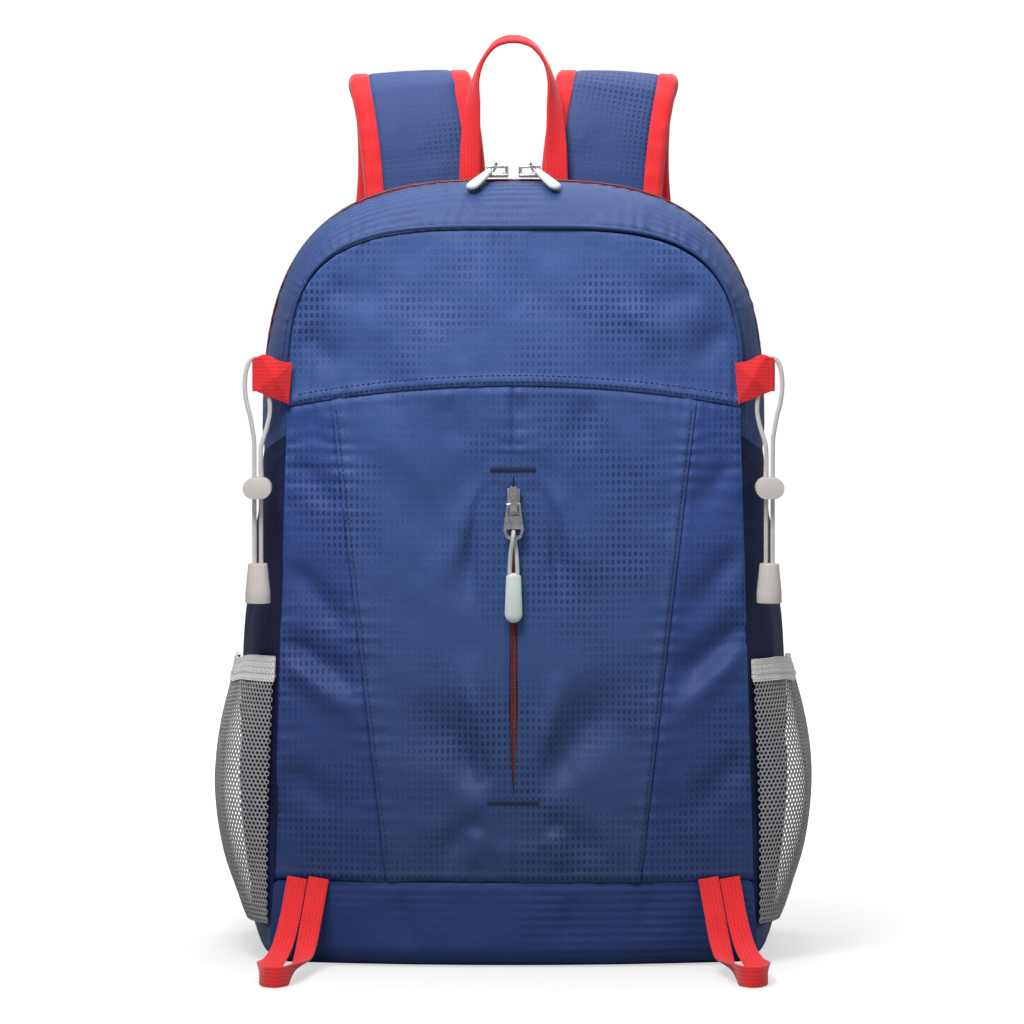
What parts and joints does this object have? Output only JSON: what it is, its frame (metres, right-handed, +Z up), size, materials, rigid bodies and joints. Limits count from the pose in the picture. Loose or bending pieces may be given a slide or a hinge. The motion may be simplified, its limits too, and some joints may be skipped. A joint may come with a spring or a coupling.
{
  "type": "daypack",
  "caption": "Clamshell daypack with a slit front pocket, mesh side pockets with bungee cords and cord locks, padded shoulder straps, a haul loop and gear loops",
  "frame": {"origin": "centre of the flat base face that the bag stands on", "axes": "+X to the right of a viewer who faces the front, +Y from the front to the back panel, +Z up"},
  "size_m": [0.3488, 0.3181, 0.5475],
  "materials": {
    "ripstop": "blue ripstop nylon, slight sheen",
    "dark_ripstop": "dark navy ripstop nylon",
    "strap_ripstop": "blue ripstop nylon over foam",
    "spacer_mesh": "black spacer mesh",
    "foam": "grey closed-cell foam",
    "red_webbing": "red woven webbing",
    "red_binding": "red knitted binding tape",
    "zip_tape": "dark red woven zip tape",
    "zip_coil": "dark red nylon coil",
    "lining": "dark red lining",
    "hex_mesh": "light grey open mesh",
    "elastic": "pale grey woven elastic",
    "bungee_cord": "light grey braided elastic cord",
    "pale_acetal": "satin",
    "spring_steel": "satin",
    "die_cast_zinc": "satin plated",
    "mint_rubber": "satin",
    "pull_cord": "pale braided cord",
    "black_webbing": "black woven webbing",
    "black_acetal": "satin"
  },
  "bodies": {
    "bag": {"back_panel": "spacer_mesh", "back_pad": "foam", "base_panel": "dark_ripstop", "front_top_panel": "ripstop", "front_centre_left": "ripstop", "front_centre_right": "ripstop", "front_side_left": "ripstop", "front_side_right": "ripstop", "zip_gusset_front": "ripstop", "zip_gusset_rear": "dark_ripstop", "side_panel_left": "dark_ripstop", "side_panel_right": "dark_ripstop", "arch_piping": "ripstop", "main_zip_tape": "zip_tape", "main_zip_coil": "zip_coil", "pocket_zip_tape": "zip_tape", "pocket_zip_coil": "zip_coil", "pocket_lining": "lining", "bar_tacks": "dark_ripstop", "mesh_pocket_left": "hex_mesh", "mesh_pocket_right": "hex_mesh", "pocket_elastic_left": "elastic", "pocket_elastic_right": "elastic", "side_tab_left": "red_webbing", "side_tab_right": "red_webbing", "bungee_outer_left": "bungee_cord", "bungee_outer_right": "bungee_cord", "bungee_inner_left": "bungee_cord", "bungee_inner_right": "bungee_cord", "cord_end_left": "pale_acetal", "cord_end_right": "pale_acetal", "gear_loop_left": "red_webbing", "gear_loop_right": "red_webbing", "haul_loop": "red_webbing", "shoulder_strap_left": "strap_ripstop", "shoulder_strap_right": "strap_ripstop", "strap_binding_left": "red_binding", "strap_binding_right": "red_binding", "strap_webbing_left": "black_webbing", "strap_webbing_right": "black_webbing", "corner_tab_left": "dark_ripstop", "corner_tab_right": "dark_ripstop"},
    "ladder_lock_left": {"ladder_lock_left": "black_acetal"},
    "main_slider_left": {"main_slider_left": "die_cast_zinc"},
    "main_pull_left": {"main_pull_left": "die_cast_zinc", "main_grip_left": "mint_rubber"},
    "cord_lock_left": {"cord_lock_left": "pale_acetal", "lock_spring_left": "spring_steel"},
    "lock_button_left": {"lock_button_left": "pale_acetal"},
    "ladder_lock_right": {"ladder_lock_right": "black_acetal"},
    "main_slider_right": {"main_slider_right": "die_cast_zinc"},
    "main_pull_right": {"main_pull_right": "die_cast_zinc", "main_grip_right": "mint_rubber"},
    "cord_lock_right": {"cord_lock_right": "pale_acetal", "lock_spring_right": "spring_steel"},
    "lock_button_right": {"lock_button_right": "pale_acetal"},
    "pocket_slider": {"pocket_slider": "die_cast_zinc"},
    "pocket_pull": {"pocket_pull_tab": "die_cast_zinc", "pocket_pull_cord": "pull_cord", "pocket_grip": "mint_rubber"}
  },
  "joints": [
    {"name": "pocket_slider_travel", "type": "slide", "parent": "bag", "child": "pocket_slider", "axis": [0, 0, -1], "range_m": [0, 0.145]},
    {"name": "pocket_pull_swing", "type": "hinge", "parent": "pocket_slider", "child": "pocket_pull", "pos_m": [0, -0.094, 0.271], "axis": [-1, 0, 0], "range_deg": [0, 140]},
    {"name": "main_slider_left_travel", "type": "hinge", "parent": "bag", "child": "main_slider_left", "pos_m": [0, -0.042, -0.162], "axis": [0, -1, 0], "range_deg": [0, 5]},
    {"name": "main_pull_left_swing", "type": "hinge", "parent": "main_slider_left", "child": "main_pull_left", "pos_m": [-0.011, -0.042, 0.466], "axis": [-1, 0, 0], "range_deg": [0, 150]},
    {"name": "cord_lock_left_slide", "type": "slide", "parent": "bag", "child": "cord_lock_left", "axis": [0, 0, 1], "range_m": [-0.034, 0.014]},
    {"name": "lock_button_left_press", "type": "slide", "parent": "cord_lock_left", "child": "lock_button_left", "axis": [0, 1, 0], "range_m": [0, 0.0035], "stiffness_N_per_m": 300, "springref_m": -0.0005, "deforming": ["lock_spring_left"]},
    {"name": "ladder_lock_left_tilt", "type": "hinge", "parent": "bag", "child": "ladder_lock_left", "pos_m": [-0.1095, 0.1209, 0.2478], "axis": [1, 0, 0], "range_deg": [0, 35]},
    {"name": "main_slider_right_travel", "type": "hinge", "parent": "bag", "child": "main_slider_right", "pos_m": [0, -0.042, -0.162], "axis": [0, 1, 0], "range_deg": [0, 5]},
    {"name": "main_pull_right_swing", "type": "hinge", "parent": "main_slider_right", "child": "main_pull_right", "pos_m": [0.011, -0.042, 0.466], "axis": [-1, 0, 0], "range_deg": [0, 150]},
    {"name": "cord_lock_right_slide", "type": "slide", "parent": "bag", "child": "cord_lock_right", "axis": [0, 0, 1], "range_m": [-0.034, 0.014]},
    {"name": "lock_button_right_press", "type": "slide", "parent": "cord_lock_right", "child": "lock_button_right", "axis": [0, 1, 0], "range_m": [0, 0.0035], "stiffness_N_per_m": 300, "springref_m": -0.0005, "deforming": ["lock_spring_right"]},
    {"name": "ladder_lock_right_tilt", "type": "hinge", "parent": "bag", "child": "ladder_lock_right", "pos_m": [0.1095, 0.1209, 0.2478], "axis": [1, 0, 0], "range_deg": [0, 35]}
  ]
}
